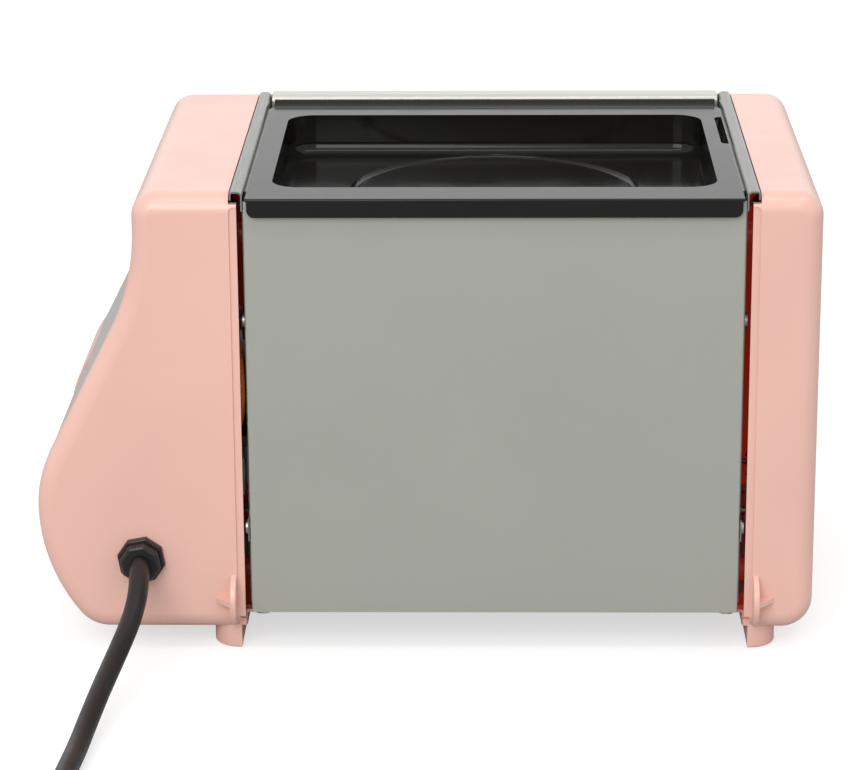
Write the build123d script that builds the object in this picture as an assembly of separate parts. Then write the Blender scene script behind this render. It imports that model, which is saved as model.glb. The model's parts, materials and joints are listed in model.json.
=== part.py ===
from build123d import *
import os
from math import sin, cos, tan, radians, degrees, sqrt, atan2, pi

os.makedirs("parts", exist_ok=True)

# ---------------------------------------------------------------- driving dimensions (mm)
# Working axes while modelling: x = 0 on the oven body's centre plane (+x towards the control side),
# y = 0 on the rear face of the side housings (front is -y), z = 0 on the table.
# Everything is moved by (FRAME_X, FRAME_Y, 0) at the end, so the origin is under the middle of the appliance.
DEPTH = 165.0            # side housings, rear face to front face
TOP_Z = 168.0            # flat top of the side housings
BASE_Z = 7.4             # underside of the side housings
BODY_HALF = 86.6         # half width of the sheet-metal body's rear panel
WALL_IN, WALL_OUT = 86.9, 87.5      # inner and outer face of each sheet side wall
HOUSING_IN_TOP = 91.8    # inner edge of the housings' top face
HOUSING_IN = 89.0        # inner edge of the housings' rear and front faces
PLAIN_OUT = 113.6        # outer face of the plain (left) housing
NECK_OUT = 125.8         # outer face of the control housing's upper part
BULGE_OUT = 162.5        # outermost point of the control housing's lower bulge
SHELL_T = 2.2            # moulded wall thickness
CORNER_R = 8.5           # top outer corner of both housings
REAR_R, FRONT_R = 6.5, 6.0          # edge rounding of the housings
FLARE_R = 80.0           # concave flare radius
BULGE_R, BULGE_Z = 45.5, 52.5       # upper bulge radius and height of the bulge's widest point
LOWER_R = 64.8           # lower bulge radius
TOE_R = 13.8             # rounding between bulge and underside
SLOPE = radians(27.0)    # slope of the control side from vertical
# height at which the neck starts to flare, so that neck, slope and bulge join smoothly
NECK_Z = BULGE_Z + (BULGE_R + FLARE_R) * sin(SLOPE) + ((BULGE_OUT - BULGE_R - NECK_OUT - FLARE_R) + (BULGE_R + FLARE_R) * cos(SLOPE)) * cos(SLOPE) / sin(SLOPE)
DECK_DROP, DECK_T = 0.35, 1.2       # fascia's surface below the housing's skin, and its thickness
PAN_RIM_Z = 167.0        # top of the griddle pan's rim
PAN_FLOOR_Z = 152.0      # cooking surface
PAN_T = 1.0
PAN_HALF = 85.9
PAN_WELL_HALF = 78.0
PAN_WELL_Y0, PAN_WELL_Y1 = -15.3, -127.6
RING_R = 53.0            # outer radius of the pressed egg ring in the griddle floor
HINGE_Y, HINGE_Z = -168.2, 27.0
DOOR_HALF = 79.0
CORD_R = 3.6

FRAME_X = -(163.0 - PLAIN_OUT) / 2
FRAME_Y = 91.6
MOVE = Pos(FRAME_X, FRAME_Y, 0)

parts = {}


def put(name, *solids):
    parts.setdefault(name, []).extend(solids)


def box(x0, x1, y0, y1, z0, z1):
    return Pos((x0 + x1) / 2, (y0 + y1) / 2, (z0 + z1) / 2) * Box(abs(x1 - x0), abs(y1 - y0), abs(z1 - z0))


def rod(p, q, r):
    """Cylinder from p to q."""
    p, q = Vector(*p), Vector(*q)
    d = q - p
    pl = Plane(origin=p, z_dir=d)
    return pl * Pos(0, 0, d.length / 2) * Cylinder(r, d.length)


def tube(p, q, r, ri):
    return rod(p, q, r) - rod(p, q, ri)


def cone(p, q, r0, r1):
    p, q = Vector(*p), Vector(*q)
    d = q - p
    pl = Plane(origin=p, z_dir=d)
    return pl * Pos(0, 0, d.length / 2) * Cone(r0, r1, d.length)


def soft(shape, edges, r):
    """Fillet that falls back to a smaller radius."""
    for k in (1.0, 0.6, 0.3):
        try:
            out = fillet(edges, r * k)
            if out.is_valid:
                return out
        except Exception:
            continue
    print("fillet left out, radius", r)
    return shape


def wire_path(points, radius_factor=0.45):
    """Straight runs joined by tangent arcs as large as the runs allow, and the radii."""
    pts = [Vector(*p) for p in points]
    radii = []
    for a, b, c in zip(pts, pts[1:], pts[2:]):
        turn = radians((b - a).get_angle(c - b))
        run = min((b - a).length, (c - b).length)
        radii.append(radius_factor * run / tan(turn / 2))
    return FilletPolyline(*pts, radius=radii), radii


def cable(points, r, name=None):
    path, radii = wire_path(points)
    start = Plane(origin=path @ 0, z_dir=path % 0)
    body = sweep(start * Circle(r), path=path)
    if name:
        turns = [(Vector(*b) - Vector(*a)).get_angle(Vector(*c) - Vector(*b)) for a, b, c in zip(points, points[1:], points[2:])]
        print(name, "length", round(path.length, 1), "radii", [round(v, 1) for v in radii], "turns", [round(t) for t in turns], "volume/section*length", round(body.volume / (pi * r * r * path.length), 4))
    return body, path.length


# ---------------------------------------------------------------- housing outlines (x-z), offset inwards by d
def control_outline(d):
    c, s = cos(SLOPE), sin(SLOPE)
    top, out = TOP_Z - d, NECK_OUT - d
    r1 = CORNER_R - d
    c1 = (NECK_OUT - CORNER_R, TOP_Z - CORNER_R)
    rc = FLARE_R + d
    cc = (NECK_OUT + FLARE_R, NECK_Z)
    rb = BULGE_R - d
    cb = (BULGE_OUT - BULGE_R, BULGE_Z)
    rl = LOWER_R - d
    cl = (BULGE_OUT - LOWER_R, BULGE_Z)
    rt = TOE_R - d
    tz = BASE_Z + TOE_R
    tx = cl[0] + sqrt((LOWER_R - TOE_R) ** 2 - (BULGE_Z - tz) ** 2)
    a = atan2(tz - BULGE_Z, tx - cl[0])

    def at(ctr, r, ang):
        return (ctr[0] + r * cos(ang), ctr[1] + r * sin(ang))

    p0 = (60.0, top)
    p1 = (c1[0], top)
    p1m = at(c1, r1, radians(45))
    p2 = (out, c1[1])
    p3 = (out, NECK_Z)
    p3m = at(cc, rc, pi + SLOPE / 2)
    p4 = at(cc, rc, pi + SLOPE)
    p5 = at(cb, rb, SLOPE)
    p5m = at(cb, rb, SLOPE / 2)
    p6 = (BULGE_OUT - d, BULGE_Z)
    p6m = at(cl, rl, a / 2)
    p7 = at(cl, rl, a)
    p7m = at((tx, tz), rt, (a - pi / 2) / 2)
    p8 = (tx, BASE_Z + d)
    p9 = (60.0, BASE_Z + d)
    return [Line(p0, p1), ThreePointArc(p1, p1m, p2), Line(p2, p3), ThreePointArc(p3, p3m, p4), Line(p4, p5),
            ThreePointArc(p5, p5m, p6), ThreePointArc(p6, p6m, p7), ThreePointArc(p7, p7m, p8), Line(p8, p9), Line(p9, p0)]


def plain_outline(d):
    r1, r2 = CORNER_R - d, 11.0 - d
    top, out = TOP_Z - d, -PLAIN_OUT + d
    k = cos(radians(45))
    c1 = (-PLAIN_OUT + CORNER_R, TOP_Z - CORNER_R)
    c2 = (-PLAIN_OUT + 11.0, BASE_Z + 11.0)
    p = [(-60, top), (c1[0], top), (c1[0] - r1 * k, c1[1] + r1 * k), (out, c1[1]), (out, c2[1]),
         (c2[0] - r2 * k, c2[1] - r2 * k), (c2[0], BASE_Z + d), (-60, BASE_Z + d)]
    return [Line(p[0], p[1]), ThreePointArc(p[1], p[2], p[3]), Line(p[3], p[4]), ThreePointArc(p[4], p[5], p[6]),
            Line(p[6], p[7]), Line(p[7], p[0])]


def block(outline, d, rear=None, front=None):
    """The housing's full block, inset by d from its skin, its outer edges rounded."""
    face = make_face(outline(d))
    face = Plane.XZ * face          # outline's (x, z) onto the x-z plane, normal -y
    solid = extrude(face, amount=DEPTH - 2 * d)
    if solid.bounding_box().max.Y > 1:
        solid = Pos(0, -(DEPTH - 2 * d), 0) * solid
    solid = Pos(0, -d, 0) * solid
    yr, yf = -d, -DEPTH + d

    def rim(y):
        out = []
        for e in solid.edges():
            b = e.bounding_box()
            if abs(b.min.Y - y) < 0.01 and abs(b.max.Y - y) < 0.01 and not (abs(b.min.X) < 60.5 and abs(b.max.X) < 60.5):
                out.append(e)
        return out

    if rear is None:
        rear, front = REAR_R - d, FRONT_R - d
    if rear > 0.3:
        solid = fillet(rim(yr), rear)
        solid = solid if isinstance(solid, Solid) else solid.solids()[0]
    if front > 0.3:
        edges = [e for e in solid.edges() if abs(e.bounding_box().min.Y - yf) < 0.01 and abs(e.bounding_box().max.Y - yf) < 0.01
                 and not (abs(e.bounding_box().min.X) < 60.5 and abs(e.bounding_box().max.X) < 60.5)]
        solid = fillet(edges, front)
        solid = solid if isinstance(solid, Solid) else solid.solids()[0]
    return solid


def one(shape):
    """The largest solid of a shape."""
    return sorted(shape.solids(), key=lambda v: v.volume)[-1]


# ---------------------------------------------------------------- side housings
c_skin = block(control_outline, 0.0)
c_in = block(control_outline, SHELL_T)
p_skin = block(plain_outline, 0.0)
p_in = block(plain_outline, SHELL_T)

# region of the control fascia: the sloped deck, from near the rear right round to the front, and the front face inside its rim
_a = (NECK_OUT + FLARE_R - FLARE_R * cos(SLOPE), NECK_Z - FLARE_R * sin(SLOPE))
_b = (BULGE_OUT - BULGE_R + BULGE_R * cos(SLOPE), BULGE_Z + BULGE_R * sin(SLOPE))
deck_mid = Vector((_a[0] + _b[0]) / 2, 0, (_a[1] + _b[1]) / 2)
deck_dir = Vector(sin(SLOPE), 0, -cos(SLOPE))
deck_out = Vector(cos(SLOPE), 0, sin(SLOPE))


def deck_point(s, out, y):
    """s mm down the slope from the deck's middle, out mm above the housing's skin line."""
    v = deck_mid + deck_dir * s + deck_out * out
    return (v.X, y, v.Z)


deck_plane = Plane(origin=deck_mid, x_dir=deck_dir, z_dir=deck_out)


def deck_region(grow):
    """The sloped side's fascia: a rounded rectangle seen square on to the slope."""
    w = 78.0 + 2 * grow
    y0, y1 = -12.5 + grow, -(DEPTH + 12)
    loc = Plane(origin=(deck_mid.X, (y0 + y1) / 2, deck_mid.Z), x_dir=deck_dir, z_dir=deck_out)
    return extrude(loc * RectangleRounded(w, y0 - y1, 7 + grow), amount=9, both=True)


def front_region(grow):
    face = Plane.XZ * make_face(control_outline(7.0 - grow))
    s = extrude(face, amount=60)
    if s.bounding_box().max.Y > 1:
        s = Pos(0, -60, 0) * s
    s = Pos(0, -(DEPTH - 5), 0) * s
    lim = box(93.0 - grow, 200, -DEPTH - 30, -(DEPTH - 5), 15.0 - grow, 161 + grow)
    return s & lim


s_drop = block(control_outline, DECK_DROP)
s_base = block(control_outline, DECK_DROP + DECK_T)
s_back = block(control_outline, DECK_DROP + DECK_T + 1.8)

region = deck_region(0.0) + front_region(0.0)
region_big = deck_region(0.25) + front_region(0.25)
region_back = deck_region(2.2) + front_region(2.2)

fascia = (s_drop - s_base) & region
fascia = one(fascia)

inner_cut_c = box(40, HOUSING_IN, 10, -DEPTH - 10, 0, 200) + box(40, HOUSING_IN_TOP, 10, -DEPTH - 10, 164.6, 200)
control_shell = c_skin - inner_cut_c - c_in
backing = ((c_in - s_back) & region_back) - inner_cut_c
control_shell = control_shell + backing
control_shell = control_shell - ((c_skin - s_base) & region_big)

inner_cut_p = box(-40, -HOUSING_IN, 10, -DEPTH - 10, 0, 200) + box(-40, -HOUSING_IN_TOP, 10, -DEPTH - 10, 164.6, 200)
plain_shell = p_skin - inner_cut_p - p_in

# screw bosses that reach the sheet side walls
BOSSES = [(-24.0, 22.0), (-24.0, 148.0), (-142.0, 22.0), (-142.0, 148.0)]
BOSS_R, PILOT_R = 4.0, 1.5
for (by, bz) in BOSSES:
    plain_shell = plain_shell + (rod((-WALL_OUT, by, bz), (-PLAIN_OUT + 1.0, by, bz), BOSS_R))
    up = bz > 100
    control_shell = control_shell + rod((WALL_OUT, by, bz), (100.5, by, bz), BOSS_R) \
        + (box(92.6, 100.5, by - 1.2, by + 1.2, bz, TOP_Z - 1.0) if up else box(HOUSING_IN, 100.5, by - 1.2, by + 1.2, BASE_Z + 1.0, bz))
for (by, bz) in BOSSES:
    plain_shell = plain_shell - rod((-WALL_OUT + 1, by, bz), (-WALL_OUT - 11, by, bz), PILOT_R)
    control_shell = control_shell - rod((WALL_OUT - 1, by, bz), (WALL_OUT + 11, by, bz), PILOT_R)

# wall-distance fins low on each rear face: a crescent fin with a small level web on its outer side
def rear_fin(sign):
    x0, x1 = sign * 91.9, sign * 94.1
    with BuildSketch(Plane.YZ.offset(min(x0, x1))) as sk:
        with BuildLine():
            Line((-2.0, 9.4), (-2.0, 28.6))
            Line((-2.0, 28.6), (-0.4, 28.6))
            ThreePointArc((-0.4, 28.6), (7.0, 19.2), (-0.4, 9.4))
            Line((-0.4, 9.4), (-2.0, 9.4))
        make_face()
    fin = extrude(sk.sketch, amount=abs(x1 - x0))
    fin = soft(fin, [e for e in fin.edges() if e.geom_type == GeomType.CIRCLE], 0.5)
    with BuildSketch(Plane.XY.offset(18.4)) as sk2:
        with BuildLine():
            Polyline((sign * 94.0, -1.0), (sign * 94.0, 6.2), (sign * 99.4, 0.3), (sign * 99.4, -1.0), close=True)
        make_face()
    web = extrude(sk2.sketch, amount=1.8)
    return fin, web


for sgn in (1, -1):
    fin, web = rear_fin(sgn)
    # inner strip of the rear face: set back a little and stopping short of the bottom edge
    strip = box(sgn * (HOUSING_IN - 1), sgn * 91.7, 2.0, -0.7, 12.6, 163.6)
    strip = soft(strip, [e for e in strip.edges().filter_by(Axis.Y) if abs(e.center().X) > 91 and e.center().Z > 100], 1.6)
    below = box(sgn * (HOUSING_IN - 1), sgn * 91.2, 2.0, -3.6, 0.0, 12.6)
    # feet moulded on the housing: rounded in plan at the outer corner, an inner rib, and a lug under the body
    foot = None
    for y0, y1, k in ((-2.4, -22.0, 1), (-163.0, -143.4, -1)):
        f = box(sgn * 90.6, sgn * 100.9, y0, y1, 0.0, 13.0)
        corner = [e for e in f.edges().filter_by(Axis.Z) if abs(abs(e.center().X) - 100.9) < 0.05 and abs(e.center().Y - y0) < 0.05]
        f = fillet(corner, 9.6)
        f = soft(f, f.faces().filter_by(Axis.Z).sort_by(Axis.Z)[0].edges(), 0.6)
        ya, yb = min(y0, y1), max(y0, y1)
        rib = box(sgn * 88.9, sgn * 90.7, ya + 1.5, yb - 5.0, 6.8, 13.0)
        lug = box(sgn * 90.6, sgn * 80.2, ya + 2.0, yb - 5.6, 11.4, 14.2)
        yc = (ya + yb) / 2 - 1.6
        lug = lug - rod((sgn * 83.6, yc, 5), (sgn * 83.6, yc, 20), 1.7)
        foot = (f + rib + lug) if foot is None else foot + f + rib + lug
    if sgn > 0:
        control_shell = control_shell - strip - below + fin + web + foot
    else:
        plain_shell = plain_shell - strip - below + fin + web + foot

# knob and lamp holes, gland hole
TIMER_X, TIMER_Z = 126.2, 54.0      # axis of the timer and of the round dial boss
BOSS_RADIUS, BOSS_LEN, BOSS_PROUD = 36.8, 56.5, 3.0
LAMP_X, LAMP_Z = 110.5, 126.0
GLAND_X, GLAND_Z, GLAND_R = 125.6, 34.7, 6.2
front_holes = rod((LAMP_X, -DEPTH + 8, LAMP_Z), (LAMP_X, -DEPTH - 5, LAMP_Z), 3.1)
boss_space = rod((TIMER_X, -DEPTH + BOSS_LEN + 0.3, TIMER_Z), (TIMER_X, -DEPTH - 20, TIMER_Z), BOSS_RADIUS + 0.3)
fascia = fascia - front_holes - boss_space
control_shell = control_shell - front_holes - boss_space - rod((GLAND_X, 3, GLAND_Z), (GLAND_X, -6, GLAND_Z), GLAND_R)

put("control_housing", one(control_shell))
put("left_housing", one(plain_shell))
put("control_fascia", one(fascia))

# ---------------------------------------------------------------- sheet-metal body
T = 0.6
UP_HEATERS_Y, LOW_HEATERS_Y = (-50.0, -98.0), (-48.0, -104.0)
UP_Z, LOW_Z = 140.0, 36.0
heater_spots = [(y, UP_Z) for y in UP_HEATERS_Y] + [(y, LOW_Z) for y in LOW_HEATERS_Y]
for sgn, name in ((1, "right_side_wall"), (-1, "left_side_wall")):
    # upright sheet, its top folded outwards as the rail beside the griddle
    with BuildSketch(Plane.XZ.offset(0.0)) as sk:
        with BuildLine():
            zt = 169.0
            Line((sgn * WALL_IN, 15.2), (sgn * WALL_IN, zt - 1.8))
            ThreePointArc((sgn * WALL_IN, zt - 1.8), (sgn * (WALL_IN + 0.527), zt - 0.527), (sgn * (WALL_IN + 1.8), zt))
            Line((sgn * (WALL_IN + 1.8), zt), (sgn * 90.2, zt))
            ThreePointArc((sgn * 90.2, zt), (sgn * 91.05, zt - 0.35), (sgn * 91.4, zt - 1.2))
            Line((sgn * 91.4, zt - 1.2), (sgn * 91.4, zt - 3.0))
            Line((sgn * 91.4, zt - 3.0), (sgn * 90.8, zt - 3.0))
            Line((sgn * 90.8, zt - 3.0), (sgn * 90.8, zt - 1.2))
            ThreePointArc((sgn * 90.8, zt - 1.2), (sgn * 90.62, zt - 0.78), (sgn * 90.2, zt - T))
            Line((sgn * 90.2, zt - T), (sgn * (WALL_IN + 1.8), zt - T))
            ThreePointArc((sgn * (WALL_IN + 1.8), zt - T), (sgn * (WALL_IN + 0.951), zt - 0.951), (sgn * WALL_OUT, zt - 1.8))
            Line((sgn * WALL_OUT, zt - 1.8), (sgn * WALL_OUT, 15.2))
            Line((sgn * WALL_OUT, 15.2), (sgn * WALL_IN, 15.2))
        make_face()
    wall = extrude(sk.sketch, amount=158.5)
    if wall.bounding_box().max.Y > 1:
        wall = Pos(0, -158.5, 0) * wall
    wall = Pos(0, -1.0, 0) * wall
    for (hy, hz) in heater_spots:
        wall = wall - rod((sgn * 80, hy, hz), (sgn * 95, hy, hz), 5.2)
    for (by, bz) in BOSSES:
        wall = wall - rod((sgn * 80, by, bz), (sgn * 95, by, bz), 1.8)
    # the upright's rear edge is set back from the rear panel, but for one riveted tab
    wall = wall - box(sgn * 80, sgn * 95, 1.0, -8.2, 0, 41.0) - box(sgn * 80, sgn * 95, 1.0, -8.2, 49.0, 162.0)
    put(name, one(wall))

rear = box(-BODY_HALF, BODY_HALF, -0.4, -1.0, 14.3, 165.6)
rear = soft(rear, rear.edges().filter_by(Axis.Z).group_by(Axis.Y)[-1], 0.5)
for sgn in (1, -1):
    rear = rear + box(sgn * BODY_HALF, sgn * (BODY_HALF - T), -0.8, -14.0, 16.2, 150)
rear = rear + box(-BODY_HALF + 1, BODY_HALF - 1, -0.8, -10, 14.3, 14.9)
RIVETS = [(-5.4, 45.0), (-11.0, 120.0)]
for sgn in (1, -1):
    for (ry, rz) in RIVETS:
        rear = rear - rod((sgn * 80, ry, rz), (sgn * 95, ry, rz), 1.7)
put("rear_panel", one(rear))
for sgn, name in ((1, "right_side_wall"), (-1, "left_side_wall")):
    w = parts[name][0]
    for (ry, rz) in RIVETS:
        w = w - rod((sgn * 80, ry, rz), (sgn * 95, ry, rz), 1.7)
    parts[name][0] = one(w)

# bottom plate: rests inside the walls, its rear edge on the rear panel's lower flange
bottom = box(-BODY_HALF, BODY_HALF, -1.2, -158.8, 14.95, 15.55)
for sgn in (1, -1):
    bottom = bottom + box(sgn * (BODY_HALF - T - 0.05), sgn * (BODY_HALF - 2 * T - 0.05), -13, -157.5, 15.0, 18.0)
for x in (-62, 62):             # pressed runners under the crumb tray
    bottom = bottom + box(x - 2, x + 2, -14, -150, 15.5, 16.7)
for x in (-40, 0, 40):          # pressed stiffening beads
    bottom = bottom - box(x - 4, x + 4, -30, -130, 14.9, 15.2)
put("bottom_plate", one(bottom))

# front frame: flanged sheet ring round the oven mouth, with the rail across the top
MOUTH = (76.0, 32.0, 142.0)      # half width, lower and upper edge of the oven mouth
CRUMB_Z0, CRUMB_Z1 = 16.4, 22.6
fr = box(-WALL_IN, WALL_IN, -159.6, -161.2, 14.3, 168.0)
fr = fr - box(-MOUTH[0], MOUTH[0], -150, -170, MOUTH[1], MOUTH[2])
fr = fr - box(-MOUTH[0] - 1, MOUTH[0] + 1, -150, -170, CRUMB_Z0, CRUMB_Z1)
with BuildSketch(Plane.YZ.offset(-BODY_HALF + 0.4)) as sk:
    with BuildLine():
        Line((-152.6, 163.0), (-152.6, 166.4))
        ThreePointArc((-152.6, 166.4), (-153.3, 168.2), (-155.2, 169.0))
        Line((-155.2, 169.0), (-161.0, 169.0))
        ThreePointArc((-161.0, 169.0), (-163.4, 168.0), (-164.4, 165.6))
        Line((-164.4, 165.6), (-164.4, 148.0))
        Line((-164.4, 148.0), (-161.0, 148.0))
        Line((-161.0, 148.0), (-161.0, 166.4))
        Line((-161.0, 166.4), (-154.0, 166.4))
        Line((-154.0, 166.4), (-154.0, 163.0))
        Line((-154.0, 163.0), (-152.6, 163.0))
    make_face()
rail = extrude(sk.sketch, amount=2 * BODY_HALF - 0.8)
fr = fr + rail
# outer jambs, flush with the rail's face, either side of the door
for sgn in (1, -1):
    fr = fr + box(sgn * (DOOR_HALF + 1.6), sgn * BODY_HALF, -160.0, -164.4, 14.3, 149.0)
put("front_frame", one(fr))

# ledges inside the side walls that carry the griddle pan
for sgn in (1, -1):
    led = box(sgn * WALL_IN, sgn * 80.5, -14.0, -143.0, PAN_RIM_Z - PAN_T - 0.7, PAN_RIM_Z - PAN_T - 0.1) \
        + box(sgn * WALL_IN, sgn * (WALL_IN - 0.6), -14.0, -143.0, PAN_RIM_Z - PAN_T - 8, PAN_RIM_Z - PAN_T - 0.1)
    if sgn < 0:         # cut out beside the griddle rim's notch
        led = led - box(-80.0, -86.2, -76.0, -127.0, 150, 170)
    put("pan_ledges", one(led))

# ---------------------------------------------------------------- griddle pan
well_out = box(-PAN_WELL_HALF - PAN_T, PAN_WELL_HALF + PAN_T, PAN_WELL_Y0 + PAN_T, PAN_WELL_Y1 - PAN_T, PAN_FLOOR_Z - PAN_T, PAN_RIM_Z)
well_out = fillet(well_out.edges().filter_by(Axis.Z), 11.0)
well_out = fillet(well_out.edges().group_by(Axis.Z)[0], 5.5)
well_in = box(-PAN_WELL_HALF, PAN_WELL_HALF, PAN_WELL_Y0, PAN_WELL_Y1, PAN_FLOOR_Z, PAN_RIM_Z + 5)
well_in = fillet(well_in.edges().filter_by(Axis.Z), 10.0)
well_in = fillet(well_in.edges().group_by(Axis.Z)[0], 4.5)
rim = box(-PAN_HALF, PAN_HALF, 1.6, -140.0, PAN_RIM_Z - PAN_T, PAN_RIM_Z)
# far edge: rises and rolls over
with BuildSketch(Plane.YZ.offset(-PAN_HALF + 1.2)) as sk:
    with BuildLine():
        Line((-138.0, PAN_RIM_Z), (-140.2, PAN_RIM_Z))
        ThreePointArc((-140.2, PAN_RIM_Z), (-142.5, PAN_RIM_Z + 0.55), (-144.4, PAN_RIM_Z + 1.5))
        ThreePointArc((-144.4, PAN_RIM_Z + 1.5), (-147.4, PAN_RIM_Z + 1.6), (-148.6, PAN_RIM_Z - 1.0))
        Line((-148.6, PAN_RIM_Z - 1.0), (-148.6, PAN_RIM_Z - 3.6))
        Line((-148.6, PAN_RIM_Z - 3.6), (-147.6, PAN_RIM_Z - 3.6))
        Line((-147.6, PAN_RIM_Z - 3.6), (-147.6, PAN_RIM_Z - 1.0))
        ThreePointArc((-147.6, PAN_RIM_Z - 1.0), (-146.9, PAN_RIM_Z + 0.6), (-144.8, PAN_RIM_Z + 0.55))
        ThreePointArc((-144.8, PAN_RIM_Z + 0.55), (-142.3, PAN_RIM_Z - 0.5), (-140.2, PAN_RIM_Z - PAN_T))
        Line((-140.2, PAN_RIM_Z - PAN_T), (-138.0, PAN_RIM_Z - PAN_T))
        Line((-138.0, PAN_RIM_Z - PAN_T), (-138.0, PAN_RIM_Z))
    make_face()
far = extrude(sk.sketch, amount=2 * PAN_HALF - 2.4)
# rear lip, folded down over the rear panel, lower corners rounded
lip = box(-PAN_HALF + 0.6, PAN_HALF - 0.6, 0.6, 1.6, PAN_RIM_Z - 6.6, PAN_RIM_Z - 0.2)
low = [e for e in lip.edges().filter_by(Axis.Y) if e.center().Z < PAN_RIM_Z - 5]
lip = fillet(low, 2.6)
rim = rim + lip + far
top_edge = [e for e in rim.edges().filter_by(Axis.X) if abs(e.center().Y - 1.6) < 0.05 and abs(e.center().Z - PAN_RIM_Z) < 0.05]
rim = soft(rim, top_edge, 0.7)
# clearance notch in one side of the rim
notch = box(-PAN_HALF - 1, -PAN_HALF + 2.8, -80.0, -123.5, PAN_RIM_Z - 4, PAN_RIM_Z + 4)
notch = soft(notch, [e for e in notch.edges().filter_by(Axis.Z) if e.center().X > -PAN_HALF + 2], 2.4)
pan = (rim + well_out) - well_in - notch
RING_Y = (PAN_WELL_Y0 + PAN_WELL_Y1) / 2
groove = Pos(0, RING_Y, PAN_FLOOR_Z + 1.3) * Torus(RING_R - 2.2, 2.6)
bulge = Pos(0, RING_Y, PAN_FLOOR_Z + 1.3) * Torus(RING_R - 2.2, 3.6)
bulge = bulge & box(-90, 90, 20, -180, 140, PAN_FLOOR_Z - 0.2)
pan = (pan + bulge) - groove
put("griddle_pan", one(pan))

# ---------------------------------------------------------------- heating tubes, insulators, terminals
for (hy, hz) in heater_spots:
    node = "upper_heating_tubes" if hz > 100 else "lower_heating_tubes"
    put(node, rod((-84.0, hy, hz), (84.0, hy, hz), 4.0))
    for sgn in (1, -1):
        ins = rod((sgn * 84.0, hy, hz), (sgn * 89.4, hy, hz), 5.0) + rod((sgn * 80.0, hy, hz), (sgn * 86.6, hy, hz), 6.4)
        ins = ins - rod((sgn * 78.0, hy, hz), (sgn * 84.0, hy, hz), 4.05)
        put("heater_insulators", one(ins))
        term = rod((sgn * 89.4, hy, hz), (sgn * 92.4, hy, hz), 1.6) + box(sgn * 92.0, sgn * 97.5, hy - 2.4, hy + 2.4, hz - 0.4, hz + 0.4)
        put("heater_terminals", one(term))

# sheet reflector under the lower tubes
refl = box(-80, 80, -34, -118, 27.0, 27.5) + box(-80, 80, -34, -34.5, 27.0, 31.0) + box(-80, 80, -118, -117.5, 27.0, 31.0)
for sgn in (1, -1):
    refl = refl + box(sgn * 80, sgn * 84.9, -60, -92, 27.0, 27.5) + box(sgn * 84.9, sgn * 84.4, -60, -92, 15.55, 27.5)
put("heat_reflector", one(refl))

# ---------------------------------------------------------------- wire rack and its supports
RACK_Z = 84.0
wr = 1.3
rk = None
RX, RY0, RY1, RB = 73.0, -9.5, -154.0, 6.0      # rack outline to wire centres, bend radius
rk = rod((-RX + RB, RY0, RACK_Z), (RX - RB, RY0, RACK_Z), 1.5) + rod((-RX + RB, RY1, RACK_Z), (RX - RB, RY1, RACK_Z), 1.5)
for sgn in (1, -1):
    rk = rk + rod((sgn * RX, RY0 - RB, RACK_Z), (sgn * RX, RY1 + RB, RACK_Z), 1.5)
    for cy, a0, a1 in ((RY0 - RB, 0, 90), (RY1 + RB, 270, 360)):
        cx = sgn * (RX - RB)
        pts = []
        for ang in (a0, (a0 + a1) / 2, a1):
            pts.append(Vector(cx + sgn * RB * cos(radians(ang)), cy + RB * sin(radians(ang)), RACK_Z))
        arc = ThreePointArc(*pts)
        rk = rk + sweep(Plane(origin=arc @ 0, z_dir=arc % 0) * Circle(1.5), path=arc)
for i in range(12):
    x = -66.0 + 12.0 * i
    rk = rk + rod((x, RY0, RACK_Z + 1.6), (x, RY1, RACK_Z + 1.6), 1.0)
for y in (-56.0, -107.0):
    rk = rk + rod((-RX, y, RACK_Z), (RX, y, RACK_Z), 1.3)
put("wire_rack", one(rk))
for sgn in (1, -1):
    sup = box(sgn * WALL_IN, sgn * (WALL_IN - 0.8), -14.6, -157.0, RACK_Z - 9.0, RACK_Z + 6.0) \
        + box(sgn * WALL_IN, sgn * 71.4, -14.6, -157.0, RACK_Z - 2.6, RACK_Z - 1.8) \
        + box(sgn * (WALL_IN), sgn * 83.6, -14.6, -157.0, RACK_Z + 4.2, RACK_Z + 5.0)
    put("rack_runners", one(sup))

# ---------------------------------------------------------------- crumb tray, slides out under the door
ct = box(-75.0, 75.0, -6.0, -163.4, 17.0, 17.7)
for sgn in (1, -1):
    ct = ct + box(sgn * 75.0, sgn * 74.3, -6.0, -158.0, 17.0, 21.8)
ct = ct + box(-75.0, 75.0, -6.0, -6.7, 17.0, 21.8)
ct = ct + box(-76.4, 76.4, -162.2, -163.4, 16.2, 22.4)
ct = ct + box(-30, 30, -163.0, -168.5, 16.8, 17.8) + box(-30, 30, -167.5, -168.5, 14.8, 17.8)
put("crumb_tray", one(ct))

# ---------------------------------------------------------------- glass door
DY0, DY1 = -165.0, -170.6
dz0, dz1 = 24.2, 146.6
df = box(-DOOR_HALF, DOOR_HALF, DY0, DY1, dz0, dz1)
df = fillet(df.edges().filter_by(Axis.Y), 4.0)
df = df - box(-64, 64, -160, -175, 40, 130)
df = df - box(-68, 68, DY0 + 1, DY0 - 3.6, 36, 134)
front_edges = df.edges().group_by(Axis.Y)[0]
df = soft(df, front_edges, 0.8)
df = df - rod((-DOOR_HALF - 1, HINGE_Y, HINGE_Z), (-DOOR_HALF + 7, HINGE_Y, HINGE_Z), 1.6) - rod((DOOR_HALF + 1, HINGE_Y, HINGE_Z), (DOOR_HALF - 7, HINGE_Y, HINGE_Z), 1.6)
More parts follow.
